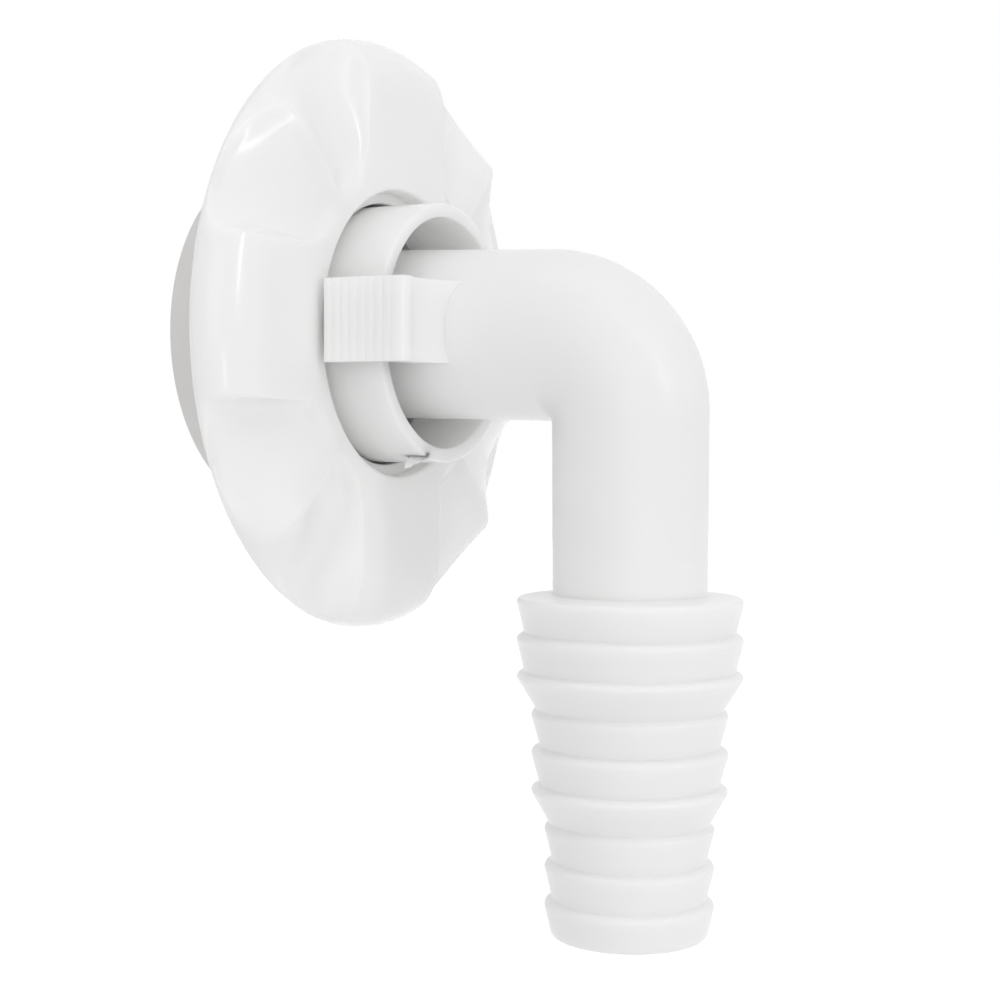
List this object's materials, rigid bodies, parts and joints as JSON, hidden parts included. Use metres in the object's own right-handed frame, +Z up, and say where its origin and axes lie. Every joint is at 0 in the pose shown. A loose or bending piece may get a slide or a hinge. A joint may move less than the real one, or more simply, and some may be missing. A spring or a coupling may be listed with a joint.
{
  "type": "washing machine drain adapter",
  "caption": "Hand-tightened drain adapter: a sealing sleeve and scooped hand nut grip a waste pipe, and a swivelling elbow hangs a stepped barbed hose tail.",
  "frame": {"origin": "on the hub's axis, in the plane of the rear face that goes into the waste pipe", "axes": "+X runs along the hub's axis out of the waste pipe towards the elbow, +Z is up, and the hose tail hangs down along -Z with its own axis in the XZ plane"},
  "size_m": [0.0605, 0.0694, 0.1019],
  "materials": {
    "hand_nut": "glossy white moulded plastic",
    "hub": "glossy white moulded plastic",
    "elbow": "satin white moulded plastic",
    "seal_sleeve": "plain light grey rubber",
    "slip_washer": "smooth white plastic",
    "o_ring": "smooth black rubber"
  },
  "bodies": {
    "pipe_fitting": {"hub": "hub", "seal_sleeve": "seal_sleeve", "slip_washer": "slip_washer"},
    "nut": {"hand_nut": "hand_nut"},
    "swivel": {"elbow": "elbow", "o_ring": "o_ring"}
  },
  "joints": [
    {"name": "nut_turn", "type": "hinge", "parent": "pipe_fitting", "child": "nut", "pos_m": [0.0145, 0, 0], "axis": [1, 0, 0], "continuous": true},
    {"name": "elbow_swivel", "type": "hinge", "parent": "pipe_fitting", "child": "swivel", "pos_m": [0.0115, 0, 0], "axis": [1, 0, 0], "continuous": true}
  ]
}
